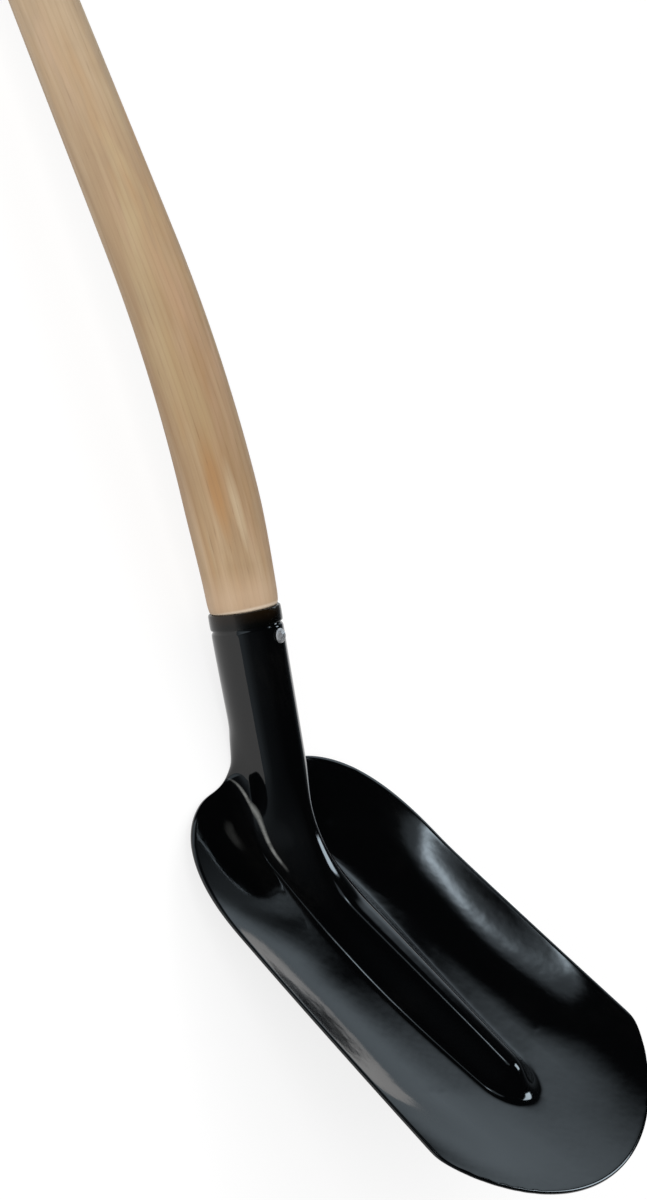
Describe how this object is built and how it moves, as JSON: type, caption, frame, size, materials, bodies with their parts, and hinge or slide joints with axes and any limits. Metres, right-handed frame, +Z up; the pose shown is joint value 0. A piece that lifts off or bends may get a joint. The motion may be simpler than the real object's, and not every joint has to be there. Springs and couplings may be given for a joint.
{
  "type": "scoop shovel",
  "caption": "Round-front scoop shovel with a flute down its pan. Pan and rolled socket are the same black-lacquered steel sheet, on a bent ash handle held by a screw.",
  "frame": {"origin": "on the floor, under the centre of the shovel's bounding box", "axes": "+Y from the handle's end to the tip of the pan, +Z up with the pan's load side up, X=0 the plane of symmetry; the shovel lies on the heel of its pan and on the end of its handle"},
  "size_m": [0.2516, 1.592, 0.1464],
  "materials": {
    "blade_lacquer": "gloss black lacquer over pressed steel",
    "ring_lacquer": "black lacquer",
    "handle_ash": "sanded ash, unvarnished",
    "screw_zinc": "zinc plated"
  },
  "bodies": {
    "root": {"blade_with_socket": "blade_lacquer", "socket_ring": "ring_lacquer", "handle": "handle_ash", "fixing_screw": "screw_zinc"}
  },
  "joints": []
}
